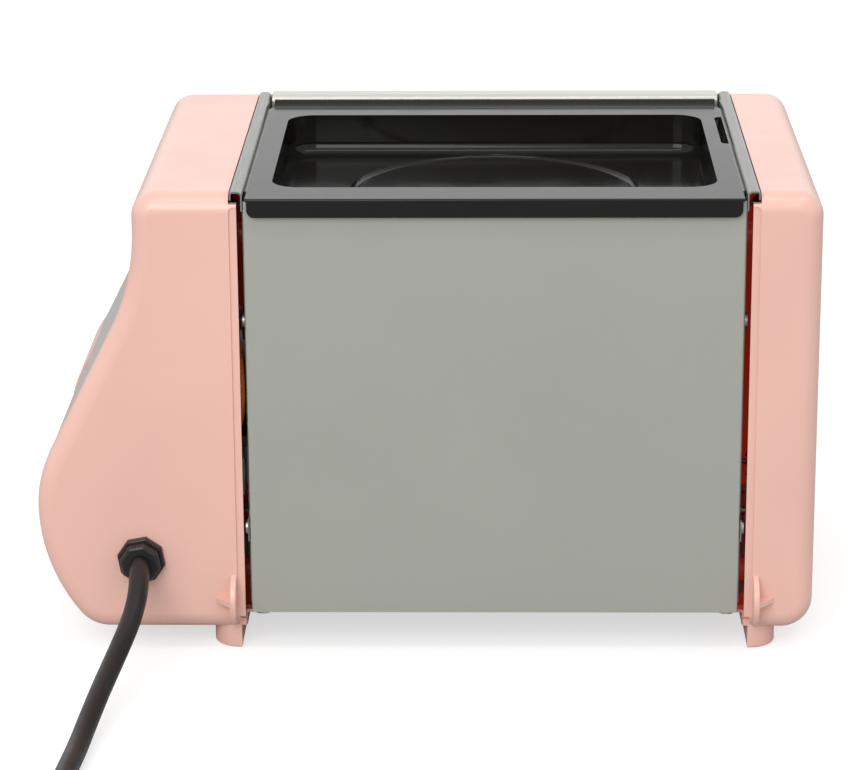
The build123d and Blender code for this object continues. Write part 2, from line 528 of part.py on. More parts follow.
# lower edge rounded about the hinge line, so it clears the frame as it swings
df = df - (box(-90, 90, DY0 + 1, DY1 - 1, dz0 - 1, HINGE_Z) - rod((-90, HINGE_Y, HINGE_Z), (90, HINGE_Y, HINGE_Z), 3.2))
HANDLE_Z, HANDLE_HALF = 137.5, 46.0
for sgn in (1, -1):
    df = df - rod((sgn * (HANDLE_HALF - 8), -160, HANDLE_Z), (sgn * (HANDLE_HALF - 8), -175, HANDLE_Z), 1.9)
put("door_frame", one(df))
put("door_glass", box(-67.8, 67.8, DY0 - 0.6, DY0 - 3.5, 36.2, 133.8))
# sheet clips that hold the glass into the frame from behind
for sgn in (1, -1):
    for z in (50.0, 120.0):
        clip = box(sgn * 65.5, sgn * 74.5, DY0 + 0.6, DY0, z - 5, z + 5) + box(sgn * 65.5, sgn * 67.0, DY0 + 0.6, DY0 - 0.55, z - 5, z + 5)
        put("glass_clips", one(clip))
# handle: bowed bar on two posts
hp = [Vector(-HANDLE_HALF, -183.2, HANDLE_Z), Vector(0, -186.6, HANDLE_Z), Vector(HANDLE_HALF, -183.2, HANDLE_Z)]
bar_path = ThreePointArc(*hp)
bar = sweep(Plane(origin=bar_path @ 0, z_dir=bar_path % 0) * Circle(3.6), path=bar_path)
bar = bar + Pos(hp[0]) * Sphere(3.6) + Pos(hp[2]) * Sphere(3.6)
for sgn in (1, -1):
    x = sgn * (HANDLE_HALF - 8)
    bar = bar + cone((x, DY1, HANDLE_Z), (x, -184.2, HANDLE_Z), 4.6, 3.2)
    bar = bar - rod((x, DY1 + 1, HANDLE_Z), (x, DY1 - 9, HANDLE_Z), 1.45)
put("door_handle", one(bar))
for sgn in (1, -1):
    x = sgn * (HANDLE_HALF - 8)
    scr = rod((x, DY0 + 1.9, HANDLE_Z), (x, DY0 + 0.02, HANDLE_Z), 3.2) + rod((x, DY0 + 0.5, HANDLE_Z), (x, DY1 - 8.5, HANDLE_Z), 1.4)
    scr = scr - box(x - 0.4, x + 0.4, DY0 + 3, DY0 + 1.2, HANDLE_Z - 2.2, HANDLE_Z + 2.2) - box(x - 2.2, x + 2.2, DY0 + 3, DY0 + 1.2, HANDLE_Z - 0.4, HANDLE_Z + 0.4)
    put("handle_screws", one(scr))
# hinge pins in brackets on the front frame
for sgn in (1, -1):
    put("hinge_pins", rod((sgn * (DOOR_HALF - 6.5), HINGE_Y, HINGE_Z), (sgn * (DOOR_HALF + 4.4), HINGE_Y, HINGE_Z), 1.5))
    br = box(sgn * (DOOR_HALF + 1.7), sgn * (DOOR_HALF + 3.3), -164.4, -171.2, 22.5, 31.5) \
        + box(sgn * (DOOR_HALF + 1.7), sgn * (DOOR_HALF + 7.4), -164.4, -165.4, 22.5, 31.5)
    br = br - rod((sgn * 70, HINGE_Y, HINGE_Z), (sgn * 90, HINGE_Y, HINGE_Z), 1.5)
    put("hinge_brackets", one(br))
    scr = cone((sgn * (DOOR_HALF + 5.5), -166.6, 29.0), (sgn * (DOOR_HALF + 5.5), -165.4, 29.0), 1.2, 1.7) 
    put("hinge_screws", scr)

# ---------------------------------------------------------------- screws through the feet's lugs into the body
FOOT_Y = (-13.8, -154.8)
for sgn in (1, -1):
    for y in FOOT_Y:
        c = cone((sgn * 83.6, y, 9.6), (sgn * 83.6, y, 11.4), 3.0, 2.6) + rod((sgn * 83.6, y, 10.4), (sgn * 83.6, y, 18.4), 1.45)
        put("foot_screws", one(c - box(sgn * 83.6 - 0.35, sgn * 83.6 + 0.35, y - 2, y + 2, 9.0, 10.4) - box(sgn * 83.6 - 2, sgn * 83.6 + 2, y - 0.35, y + 0.35, 9.0, 10.4)))
bp = parts["bottom_plate"][0]
rp = parts["rear_panel"][0]
ff = parts["front_frame"][0]
ht = parts["heat_reflector"][0]
for sgn in (1, -1):
    for y in FOOT_Y:
        hole = rod((sgn * 83.6, y, 5), (sgn * 83.6, y, 26), 1.75)
        bp, rp, ff = bp - hole, rp - hole, ff - hole
parts["bottom_plate"][0], parts["rear_panel"][0], parts["front_frame"][0] = one(bp), one(rp), one(ff)

# ---------------------------------------------------------------- fasteners through the side walls
def pan_head(p, d, head_r=2.7, head_h=1.7, shank_r=1.4, length=9.0):
    """Pan-head screw: p is under its head, d the direction it is driven in."""
    p, d = Vector(*p), Vector(*d)
    a = p - d * head_h
    h = rod((a.X, a.Y, a.Z), (p.X, p.Y, p.Z), head_r)
    e = h.edges().filter_by(GeomType.CIRCLE)
    far_e = [q for q in e if (q.center() - a).length < 0.05]
    try:
        h = fillet(far_e, 0.7)
    except Exception:
        pass
    q = p + d * length
    s = h + rod((p.X, p.Y, p.Z), (q.X, q.Y, q.Z), shank_r)
    n = Vector(0, 0, 1)
    m = d.cross(n)
    pl = Plane(origin=a, x_dir=n, z_dir=d)
    s = s - pl * Pos(0, 0, 0) * Box(3.2, 0.7, 1.6) - pl * Box(0.7, 3.2, 1.6)
    return one(s)


for sgn in (1, -1):
    for (by, bz) in BOSSES:
        inset = BODY_HALF - T if by > -12 else WALL_IN
        put("housing_screws", pan_head((sgn * WALL_IN, by, bz), (sgn, 0, 0)))
    for (ry, rz) in RIVETS:
        put("body_rivets", one(rod((sgn * 85.0, ry, rz), (sgn * 86.0, ry, rz), 2.4) + rod((sgn * 85.5, ry, rz), (sgn * 88.0, ry, rz), 1.6) + rod((sgn * 87.5, ry, rz), (sgn * 88.4, ry, rz), 2.8)))

# ---------------------------------------------------------------- timer: body, shaft, bell, knob
FY = -DEPTH + DECK_DROP          # fascia's front surface
BF = -DEPTH - BOSS_PROUD         # dial boss, front face
BACK_Y = BF + SHELL_T            # and the back of its front wall
dial_boss = rod((TIMER_X, BF, TIMER_Z), (TIMER_X, -DEPTH + BOSS_LEN, TIMER_Z), BOSS_RADIUS)
dial_boss = fillet(dial_boss.edges().filter_by(GeomType.CIRCLE).group_by(Axis.Y)[0], 2.4)
dial_boss = dial_boss - rod((TIMER_X, BACK_Y, TIMER_Z), (TIMER_X, -DEPTH + 62.0, TIMER_Z), BOSS_RADIUS - 1.9)
dial_boss = dial_boss - rod((TIMER_X, BF - 1, TIMER_Z), (TIMER_X, BACK_Y + 1, TIMER_Z), 4.2)
# the barrel's inner side is cut away beside the oven wall
dial_boss = dial_boss - box(80, HOUSING_IN + 3.4, BF + 12, -DEPTH + 70, 0, 120)
put("dial_boss", one(dial_boss))
tb = box(TIMER_X - 21, TIMER_X + 21, BACK_Y + 1.0, BACK_Y + 27.0, TIMER_Z - 21, TIMER_Z + 21)
tb = fillet(tb.edges().filter_by(Axis.Y), 4.0)
tb = tb + rod((TIMER_X, BACK_Y + 1.2, TIMER_Z), (TIMER_X, BACK_Y - 0.0, TIMER_Z), 3.9)
tb = tb - rod((TIMER_X, BACK_Y + 12, TIMER_Z), (TIMER_X, BACK_Y - 3, TIMER_Z), 3.05)
for dx, dz in ((-6, 0), (6, 0)):
    tb = tb + box(TIMER_X + dx - 2.4, TIMER_X + dx + 2.4, BACK_Y + 27, BACK_Y + 34, TIMER_Z + dz + 12 - 0.4, TIMER_Z + dz + 12 + 0.4)
put("timer_body", one(tb))
put("timer_bell", one(tube((TIMER_X, BACK_Y + 27.6, TIMER_Z - 5), (TIMER_X, BACK_Y + 33.0, TIMER_Z - 5), 13.0, 12.0) + rod((TIMER_X, BACK_Y + 32.0, TIMER_Z - 5), (TIMER_X, BACK_Y + 33.0, TIMER_Z - 5), 12.6)
                      + rod((TIMER_X, BACK_Y + 27.0, TIMER_Z - 5), (TIMER_X, BACK_Y + 32.5, TIMER_Z - 5), 1.6)))
shaft = rod((TIMER_X, BACK_Y + 11.5, TIMER_Z), (TIMER_X, BF - 13.0, TIMER_Z), 3.0)
shaft = shaft - box(TIMER_X - 4, TIMER_X + 4, BF - 3.0, BF - 14, TIMER_Z + 1.6, TIMER_Z + 4)
put("timer_shaft", one(shaft))
# knob: tapered drum with a grip bar across its face and a skirt
KN = BF - 1.0
kb = rod((TIMER_X, KN, TIMER_Z), (TIMER_X, KN - 3.0, TIMER_Z), 21.0)
kb = fillet(kb.edges().filter_by(GeomType.CIRCLE).group_by(Axis.Y)[0], 1.4)
kd = cone((TIMER_X, KN - 2.5, TIMER_Z), (TIMER_X, KN - 9.0, TIMER_Z), 17.6, 16.4)
kd = fillet(kd.edges().filter_by(GeomType.CIRCLE).group_by(Axis.Y)[0], 1.6)
grip = box(TIMER_X - 4.2, TIMER_X + 4.2, KN - 8.0, KN - 18.0, TIMER_Z - 16.6, TIMER_Z + 16.6)
grip = grip & rod((TIMER_X, KN, TIMER_Z), (TIMER_X, KN - 25, TIMER_Z), 16.2)
ge = [e for e in grip.edges() if abs(e.center().Y - (KN - 18.0)) < 0.01]
grip = soft(grip, ge, 1.6)
knob = kb + kd + grip
bore = rod((TIMER_X, KN + 1, TIMER_Z), (TIMER_X, BF - 13.2, TIMER_Z), 3.04) - box(TIMER_X - 4, TIMER_X + 4, BF - 3.0, BF - 15, TIMER_Z + 1.63, TIMER_Z + 5)
knob = knob - bore
put("timer_knob", one(knob))
# pointer line let into the grip
ptr = box(TIMER_X - 0.7, TIMER_X + 0.7, KN - 18.0, KN - 18.25, TIMER_Z + 3.0, TIMER_Z + 14.0)
put("timer_pointer", ptr)
# dial ring round the knob
dial = tube((TIMER_X, BF, TIMER_Z), (TIMER_X, BF - 0.6, TIMER_Z), 32.5, 22.6)
put("dial_ring", one(dial))
for dx in (-14.5, 14.5):
    put("timer_screws", pan_head((TIMER_X + dx, BF, TIMER_Z), (0, 1, 0), head_r=2.2, head_h=0.7, shank_r=1.2, length=6.5))
    hole = rod((TIMER_X + dx, BF - 4, TIMER_Z), (TIMER_X + dx, BF + 8.0, TIMER_Z), 1.25)
    parts["dial_boss"][0] = one(parts["dial_boss"][0] - hole)
    parts["timer_body"][0] = one(parts["timer_body"][0] - hole)

# ---------------------------------------------------------------- indicator lamp
lens = rod((LAMP_X, FY + 6.5, LAMP_Z), (LAMP_X, FY - 1.2, LAMP_Z), 3.0) + rod((LAMP_X, FY - 0.02, LAMP_Z), (LAMP_X, FY - 1.4, LAMP_Z), 4.4)
lens = soft(lens, lens.edges().filter_by(GeomType.CIRCLE).group_by(Axis.Y)[0], 0.8)
lens = lens - rod((LAMP_X, FY + 8, LAMP_Z), (LAMP_X, FY + 0.6, LAMP_Z), 2.3)
put("indicator_lens", one(lens))
lamp = rod((LAMP_X, FY + 16.0, LAMP_Z), (LAMP_X, FY + 3.0, LAMP_Z), 2.1)
lamp = lamp + Pos(LAMP_X, FY + 3.0, LAMP_Z) * Sphere(2.1)
put("indicator_lamp", one(lamp))

# ---------------------------------------------------------------- electrical parts inside the control housing
# ceramic terminal block and thermal cut-out on the wall
tbk = box(WALL_OUT + 2.0, WALL_OUT + 14.0, -18.0, -46.0, 52.0, 66.0)
tbk = fillet(tbk.edges().filter_by(Axis.X), 1.2)
for k in range(3):
    tbk = tbk - rod((WALL_OUT + 8, -22.5 - 9.5 * k, 70), (WALL_OUT + 8, -22.5 - 9.5 * k, 59), 2.2) - rod((WALL_OUT + 8, -22.5 - 9.5 * k, 50), (WALL_OUT + 8, -22.5 - 9.5 * k, 57), 2.0)
for k in range(3):
    tbk = tbk - rod((WALL_OUT + 14.5, -22.5 - 9.5 * k, 59.0), (WALL_OUT + 12.0, -22.5 - 9.5 * k, 59.0), 1.7)
put("terminal_block", one(tbk))
put("block_bracket", one(box(WALL_OUT, WALL_OUT + 0.8, -16, -48, 46, 72) + box(WALL_OUT, WALL_OUT + 2.0, -28, -36, 54, 64)))
for k in range(3):
    put("terminal_screws", rod((WALL_OUT + 14.0, -22.5 - 9.5 * k, 59.0), (WALL_OUT + 12.0, -22.5 - 9.5 * k, 59.0), 1.7))
tc = rod((WALL_OUT, -78, 100), (WALL_OUT + 6.0, -78, 100), 7.0) + box(WALL_OUT, WALL_OUT + 0.8, -66, -90, 95.5, 104.5) \
    + box(WALL_OUT + 5.5, WALL_OUT + 12, -73.6, -74.4, 97.8, 102.2) + box(WALL_OUT + 5.5, WALL_OUT + 12, -81.6, -82.4, 97.8, 102.2)
put("thermal_cutout", one(tc))
# sleeved leads
def lead(name, pts, r=1.25):
    b, _ = cable(pts, r)
    put(name, one(b))


hy0, hy1 = UP_HEATERS_Y
ly0, ly1 = LOW_HEATERS_Y
lead("upper_heater_leads", [(97.5, hy0, UP_Z + 1.75), (101.0, hy0 + 6, UP_Z - 4), (98.0, -27.0, 129.0), (91.0, -10.0, 116.0), (89.0, -6.0, 103.0), (88.95, -5.6, 88.0), (92.0, -12.0, 76.0), (95.4, -21.5, 71.0), (95.5, -22.5, 60.5)])
lead("upper_heater_leads", [(97.5, hy1, UP_Z + 1.75), (103.0, hy1 + 4, UP_Z - 8), (105.0, -90.0, 118.0), (101.0, -84.0, 106.0), (98.6, -79.6, 101.0)])
lead("lower_heater_leads", [(97.5, ly0, LOW_Z + 1.75), (101.5, -45, 40), (97.0, -42.5, 45.0), (95.5, -41.5, 49.0), (95.5, -41.4, 56.0)])
lead("lower_heater_leads", [(97.5, ly1, LOW_Z + 1.75), (102.0, -99.0, 44.0), (110.0, -98.0, 54.0), (117.0, -106.0, 62.0), (120.2, -120.0, 66.0), (120.2, -BOSS_LEN - 69.6, 66.0)])
lead("left_link_lead", [(-97.5, hy0, UP_Z + 1.75), (-102.0, hy0 + 5, UP_Z - 6), (-101.5, -46.0, 90.0), (-102.0, -44.0, 46.0), (-97.5, ly0, LOW_Z + 1.75)])
lead("left_link_lead", [(-97.5, hy1, UP_Z + 1.75), (-102.0, hy1 - 5, UP_Z - 6), (-101.5, -102.0, 90.0), (-102.0, -108.0, 46.0), (-97.5, ly1, LOW_Z + 1.75)])

# ---------------------------------------------------------------- strain-relief gland, mains cord, plug
# moulded two-step octagonal head outside, neck through the housing wall, barb ring inside
def octo(y0, y1, r, rr):
    pl = Plane(origin=(GLAND_X, y0, GLAND_Z), x_dir=(cos(radians(12)), 0, sin(radians(12))), z_dir=(0, 1, 0))
    s = extrude(pl * RegularPolygon(r, 8), amount=y1 - y0)
    top = s.edges().group_by(Axis.Y)[-1]
    return soft(s, top, rr)


gland = octo(0.0, 2.4, 8.7, 0.8)
gland = gland + octo(2.2, 6.4, 7.4, 1.3)
gland = gland + rod((GLAND_X, 0.5, GLAND_Z), (GLAND_X, -7.5, GLAND_Z), GLAND_R - 0.1)
gland = gland + rod((GLAND_X, -SHELL_T - 0.1, GLAND_Z), (GLAND_X, -4.6, GLAND_Z), GLAND_R + 1.0)
gland = gland - rod((GLAND_X, 10, GLAND_Z), (GLAND_X, -10, GLAND_Z), CORD_R + 0.02)
put("cord_gland", one(gland))
# cord inside the housing, and its bared cores to the terminal block
tail, _ = cable([(GLAND_X, 6.4, GLAND_Z), (GLAND_X, -12.5, GLAND_Z), (GLAND_X - 2.5, -21.0, GLAND_Z + 1.2), (GLAND_X - 9.0, -26.5, GLAND_Z + 4.0)], CORD_R)
put("cord_tail", one(tail))
for k, (a, b) in enumerate((((116.4, -25.5, 40.4), -23.0), ((116.6, -28.3, 38.0), -32.0))):
    lead("mains_cores", [a, (107.0, -27.0 - 3 * k, 43.0), (98.4, b - 0.5, 45.0), (95.6, b - 0.2, 48.4), (95.5, b, 55.5)], r=1.2)

# the cord's free run: out of the gland, down to the table and away behind the appliance
CORD_POINTS = [
    (125.6, 6.4, 34.7),
    (125.2, 12.4, 33.0),
    (125.0, 20.4, 28.9),
    (126.3, 29.0, 23.7),
    (128.7, 38.5, 18.9),
    (131.3, 50.0, 14.7),
    (133.9, 64.0, 10.9),
    (136.4, 80.0, 6.6),
    (138.2, 96.0, 3.62),
    (139.9, 118.0, 3.6),
    (141.3, 143.0, 3.6),
    (142.3, 172.0, 3.6),
]
# the rest is put away as a flat coil: turns side by side on the table
COIL_X, COIL_Y, COIL_OUT, PITCH, TURNS = 90.4, 182.0, 52.0, 7.25, 3.25
free, free_len = cable(CORD_POINTS, CORD_R, "power_cord")
put("power_cord", one(free))
coil_in = COIL_OUT - PITCH * TURNS - CORD_R
coil = tube((COIL_X, COIL_Y, 0.0), (COIL_X, COIL_Y, 2 * CORD_R), COIL_OUT + CORD_R, coil_in)
coil = fillet(coil.edges().filter_by(GeomType.CIRCLE).group_by(Axis.Z)[-1], 2.4)
put("cord_coil", one(coil))
# from the innermost turn over the others to the plug
PLUG_X, PLUG_Y, PLUG_Z = 28.0, 208.5, 18.5      # rear end of the plug's sleeve
TAIL_POINTS = [
    (98.0, 209.8, 6.6),
    (84.0, 210.8, 10.6),
    (66.0, 211.0, 11.4),
    (46.0, 210.0, 13.6),
    (PLUG_X, PLUG_Y, PLUG_Z),
]
tail2, tail_len = cable(TAIL_POINTS, CORD_R, "plug_end")
put("power_cord", one(tail2))
mean_r = COIL_OUT - PITCH * TURNS / 2
print("turn middle radius", round(mean_r, 1), "cord length", round(free_len + 2 * pi * mean_r * TURNS + tail_len))
d = Vector(*TAIL_POINTS[-1]) - Vector(*TAIL_POINTS[-2])
d = Vector(d.X, d.Y, 0).normalized()


def along(t, dz=0.0, side=0.0):
    v = Vector(PLUG_X, PLUG_Y, PLUG_Z + dz) + d * t + d.cross(Vector(0, 0, 1)) * side
    return (v.X, v.Y, v.Z)


plug = cone(along(0), along(17), 5.2, 7.4) + cone(along(16.5), along(30), 8.0, 16.6) + rod(along(29.5), along(40), 18.5)
plug = soft(plug, [e for e in plug.edges().filter_by(GeomType.CIRCLE) if (e.center() - Vector(*along(40))).length < 0.1], 1.2)
for t in (4.0, 8.0, 12.0):           # flex slots in the sleeve
    plug = plug - tube(along(t), along(t + 1.6), 9.0, 4.4)
for side in (-9.5, 9.5):
    plug = plug - rod(along(28.0, side=side), along(41.0, side=side), 2.4)
put("plug", one(plug))
for side in (-9.5, 9.5):
    pin = rod(along(28.0, side=side), along(59.0, side=side), 2.4)
    pin = soft(pin, [e for e in pin.edges().filter_by(GeomType.CIRCLE) if (e.center() - Vector(*along(59.0, side=side))).length < 0.1], 1.0)
    put("plug_pins", one(pin))
# strap round the bundle of turns
tie = box(COIL_X - 4, COIL_X + 4, COIL_Y - COIL_OUT - 4.6, COIL_Y - coil_in + 1.0, 0.0, 8.2) \
    - box(COIL_X - 5, COIL_X + 5, COIL_Y - COIL_OUT - 3.6, COIL_Y - coil_in, -1.0, 7.2)
put("cord_tie", one(tie))

NAMES = list(parts)
for name in NAMES:
    shapes = [MOVE * s for s in parts[name]]
    shape = shapes[0] if len(shapes) == 1 else Compound(children=shapes)
    export_step(shape, f"parts/{name}.step")
print(len(NAMES), "nodes")
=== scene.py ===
import bpy, bmesh, json, math, random
from mathutils import Vector, Matrix, Quaternion


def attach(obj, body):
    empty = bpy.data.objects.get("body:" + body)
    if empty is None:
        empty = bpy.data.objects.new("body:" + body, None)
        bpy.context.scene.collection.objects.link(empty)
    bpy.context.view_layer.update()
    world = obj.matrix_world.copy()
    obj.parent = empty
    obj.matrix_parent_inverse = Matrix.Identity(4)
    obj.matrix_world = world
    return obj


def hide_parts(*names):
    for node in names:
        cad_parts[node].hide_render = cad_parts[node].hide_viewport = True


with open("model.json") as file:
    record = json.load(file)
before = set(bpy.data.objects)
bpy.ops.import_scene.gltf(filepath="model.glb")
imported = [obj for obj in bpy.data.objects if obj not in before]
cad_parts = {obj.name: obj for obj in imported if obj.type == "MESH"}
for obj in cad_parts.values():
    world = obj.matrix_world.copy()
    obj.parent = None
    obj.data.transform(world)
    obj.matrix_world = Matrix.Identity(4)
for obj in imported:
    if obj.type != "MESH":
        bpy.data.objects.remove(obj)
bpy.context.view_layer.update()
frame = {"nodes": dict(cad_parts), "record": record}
N = frame["nodes"]

# working axes of the design, in mm: x from the oven's centre plane, y from the housings' rear face, z from the table
OX, OY = -24.7, 91.6


def P(x, y, z):
    return Vector(((x + OX) / 1000, (y + OY) / 1000, z / 1000))


scene = bpy.context.scene
scene.view_settings.view_transform = "Standard"
scene.view_settings.look = "None"

# ------------------------------------------------------------------ camera
cam_data = bpy.data.cameras.new("camera")
cam = bpy.data.objects.new("camera", cam_data)
scene.collection.objects.link(cam)
cam_data.sensor_width = 36
cam_data.lens = 3270 / 865 * 36
cam_data.clip_start, cam_data.clip_end = 0.05, 50
ROLL = -0.343
pitch, yaw = math.radians(17.6), math.atan(61.9 / 3270 / math.cos(math.radians(17.6)))
cam.location = (OX / 1000, (OY + 1089.3) / 1000, 0.4453)
fwd = Vector((math.sin(yaw) * math.cos(pitch), -math.cos(yaw) * math.cos(pitch), -math.sin(pitch)))
cam.rotation_mode = "QUATERNION"
cam.rotation_quaternion = fwd.to_track_quat("-Z", "Y") @ Quaternion((0, 0, 1), math.radians(ROLL))
scene.camera = cam


# ------------------------------------------------------------------ cord
CORD_POINTS = [
    (125.6, 6.4, 34.7), (125.2, 12.4, 33.0), (125.0, 20.4, 28.9), (126.3, 29.0, 23.7), (128.7, 38.5, 18.9), (131.3, 50.0, 14.7),
    (133.9, 64.0, 10.9), (136.4, 80.0, 6.6), (138.2, 96.0, 3.62), (139.9, 118.0, 3.6), (141.3, 143.0, 3.6),
]
COIL_X, COIL_Y, COIL_OUT, PITCH, TURNS = 90.4, 182.0, 52.0, 7.25, 3.25
TAIL_POINTS = [(98.0, 209.8, 6.6), (84.0, 210.8, 10.6), (66.0, 211.0, 11.4), (46.0, 210.0, 13.6), (28.0, 208.5, 18.5)]
pts = list(CORD_POINTS)
per = 16
n = int(round(TURNS * per))
for i in range(-1, n - 1):
    t = i / per
    a = 2 * math.pi * t
    r = (COIL_OUT - PITCH * max(t, 0)) / 0.990
    z = 3.6
    pts.append((COIL_X + r * math.cos(a), COIL_Y + r * math.sin(a), z))
pts += TAIL_POINTS
cu = bpy.data.curves.new("mains_cord", "CURVE")
cu.dimensions = "3D"
sp = cu.splines.new("NURBS")
sp.points.add(len(pts) - 1)
for q, p in zip(sp.points, pts):
    v = P(*p)
    q.co = (v.x, v.y, v.z, 1)
    q.radius = 0.0036
sp.order_u = 3
sp.use_endpoint_u = True
sp.resolution_u = 6
cu.bevel_depth = 1.0
cu.bevel_resolution = 5
cu.use_fill_caps = True
cord = bpy.data.objects.new("mains_cord", cu)
scene.collection.objects.link(cord)
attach(cord, "oven")
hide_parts("power_cord", "cord_coil")


# ------------------------------------------------------------------ materials
def srgb(r, g, b):
    f = lambda c: (c / 255 / 12.92) if c / 255 <= 0.04045 else ((c / 255 + 0.055) / 1.055) ** 2.4
    return (f(r), f(g), f(b), 1.0)


class Mat:
    """A node material: a Principled shader with procedural colour, roughness and bump."""

    def __init__(self, name, base, rough=0.4, metal=0.0, coat=0.0, coat_rough=0.1, ior=1.5, spec=0.5, alpha=1.0, trans=0.0):
        self.m = bpy.data.materials.new(name)
        self.m.use_nodes = True
        self.t = self.m.node_tree
        self.b = self.t.nodes["Principled BSDF"]
        self.b.inputs["Base Color"].default_value = base
        self.b.inputs["Roughness"].default_value = rough
        self.b.inputs["Metallic"].default_value = metal
        self.b.inputs["IOR"].default_value = ior
        self.b.inputs["Specular IOR Level"].default_value = spec
        self.b.inputs["Coat Weight"].default_value = coat
        self.b.inputs["Coat Roughness"].default_value = coat_rough
        self.b.inputs["Alpha"].default_value = alpha
        self.b.inputs["Transmission Weight"].default_value = trans
        self.base, self.rough = base, rough
        tc = self.t.nodes.new("ShaderNodeTexCoord")
        self.obj = tc.outputs["Object"]
        self.normal = None

    def node(self, kind, **vals):
        n = self.t.nodes.new(kind)
        for k, v in vals.items():
            if k in n.inputs:
                n.inputs[k].default_value = v
            else:
                setattr(n, k, v)
        return n

    def link(self, a, b):
        self.t.links.new(a, b)

    def noise(self, scale, detail=3.0, rough=0.55, stretch=(1, 1, 1), distortion=0.0):
        mp = self.node("ShaderNodeMapping")
        mp.inputs["Scale"].default_value = stretch
        self.link(self.obj, mp.inputs["Vector"])
        n = self.node("ShaderNodeTexNoise")
        n.inputs["Scale"].default_value = scale
        n.inputs["Detail"].default_value = detail
        n.inputs["Roughness"].default_value = rough
        n.inputs["Distortion"].default_value = distortion
        self.link(mp.outputs["Vector"], n.inputs["Vector"])
        return n.outputs["Fac"]

    def tint(self, fac, dark, light, lo=0.3, hi=0.7):
        """Base colour runs from dark x base to light x base with fac."""
        r = self.node("ShaderNodeValToRGB")
        r.color_ramp.elements[0].position, r.color_ramp.elements[1].position = lo, hi
        r.color_ramp.elements[0].color = tuple(min(1, c * dark) for c in self.base[:3]) + (1,)
        r.color_ramp.elements[1].color = tuple(min(1, c * light) for c in self.base[:3]) + (1,)
        self.link(fac, r.inputs["Fac"])
        self.link(r.outputs["Color"], self.b.inputs["Base Color"])
        return self

    def vary_rough(self, fac, lo, hi):
        m = self.node("ShaderNodeMapRange")
        m.inputs["From Min"].default_value, m.inputs["From Max"].default_value = 0.3, 0.7
        m.inputs["To Min"].default_value, m.inputs["To Max"].default_value = lo, hi
        self.link(fac, m.inputs["Value"])
        self.link(m.outputs["Result"], self.b.inputs["Roughness"])
        return self

    def bump(self, fac, height_mm, strength=1.0):
        b = self.node("ShaderNodeBump")
        b.inputs["Strength"].default_value = strength
        b.inputs["Distance"].default_value = height_mm / 1000
        self.link(fac, b.inputs["Height"])
        if self.normal:
            self.link(self.normal, b.inputs["Normal"])
        self.normal = b.outputs["Normal"]
        self.link(self.normal, self.b.inputs["Normal"])
        return self


def moulded(name, base, rough=0.36, coat=0.0, grain=2600, height=0.02, spec=0.5):
    m = Mat(name, base, rough, coat=coat, coat_rough=0.2, spec=spec)
    m.tint(m.noise(14, 2), 0.97, 1.03)
    m.vary_rough(m.noise(55, 4), rough - 0.05, rough + 0.07)
    m.bump(m.noise(grain, 2, 0.6), height, 0.55)
    m.bump(m.noise(90, 2), 0.06, 0.25)
    return m


def brushed(name, base, along, rough=0.28, metal=1.0, fine=1.0):
    """Rolled or brushed sheet: fine scratches that run along one axis."""
    m = Mat(name, base, rough, metal)
    st = [1.0, 1.0, 1.0]
    st["xyz".index(along)] = 0.012
    line = m.noise(4200 * fine, 3, 0.7, tuple(st))
    wide = m.noise(900 * fine, 3, 0.6, tuple(st))
    m.tint(wide, 0.90, 1.06)
    m.vary_rough(line, rough - 0.07, rough + 0.12)
    m.bump(line, 0.006, 0.6)
    m.bump(m.noise(28, 2), 0.10, 0.12)
    return m


M = {}
pink = srgb(233, 186, 172)
M["pink_plastic"] = moulded("pink_plastic", pink, 0.36, coat=0.10)


def housing_pink(side, painted_shade_red, painted_glow_strength):
    """The housing's pink; inside the narrow gap beside the body the base colour is mixed to dark red as painted shade,
    and a painted glow is added as emission, standing in for light coming through the moulding.
    """
    m = moulded("pink_housing_painted_gap_%s" % ("right" if side > 0 else "left"), pink, 0.34, coat=0.35)
    sep = m.node("ShaderNodeSeparateXYZ")
    m.link(m.obj, sep.inputs[0])

    def test(sock, op, v):
        n = m.node("ShaderNodeMath", operation=op)
        m.link(sock, n.inputs[0])
        n.inputs[1].default_value = v
        return n.outputs[0]

    def both(a, b):
        n = m.node("ShaderNodeMath", operation="MULTIPLY")
        m.link(a, n.inputs[0])
        m.link(b, n.inputs[1])
        return n.outputs[0]

    # painted gap mask: the housing's inner faces beside the body, behind the rear face and between the bottom and top
    # edges
    inner = test(sep.outputs["X"], "LESS_THAN", (103.0 + OX) / 1000) if side > 0 else test(sep.outputs["X"], "GREATER_THAN", (-103.0 + OX) / 1000)
    deep = both(test(sep.outputs["Y"], "LESS_THAN", (OY - 1.6) / 1000), test(sep.outputs["Y"], "GREATER_THAN", (OY - 163.4) / 1000))
    painted_gap_mask = both(both(inner, deep), both(test(sep.outputs["Z"], "LESS_THAN", 0.1632), test(sep.outputs["Z"], "GREATER_THAN", 0.0125)))
    # painted glow: emission on the masked faces, though the housing is no lamp; the base colour there is mixed to dark
    # red as painted shade
    painted_glow = test(painted_gap_mask, "MULTIPLY", painted_glow_strength)
    m.b.inputs["Emission Color"].default_value = painted_shade_red
    m.link(painted_glow, m.b.inputs["Emission Strength"])
    mix = m.node("ShaderNodeMix", data_type="RGBA")
    old = m.b.inputs["Base Color"].links[0].from_socket
    m.link(painted_gap_mask, mix.inputs["Factor"])
    m.link(old, mix.inputs[6])
    mix.inputs[7].default_value = painted_shade_red
    m.link(mix.outputs[2], m.b.inputs["Base Color"])
    return m


# painted shade and painted glow in the gaps beside the body; the left housing's is redder and brighter
M["pink_right_painted_gap"] = housing_pink(1, srgb(110, 26, 10), 0.22)
M["pink_left_painted_gap"] = housing_pink(-1, srgb(138, 30, 14), 0.50)
M["knob_pink"] = moulded("knob_pink", pink, 0.30, coat=0.15)

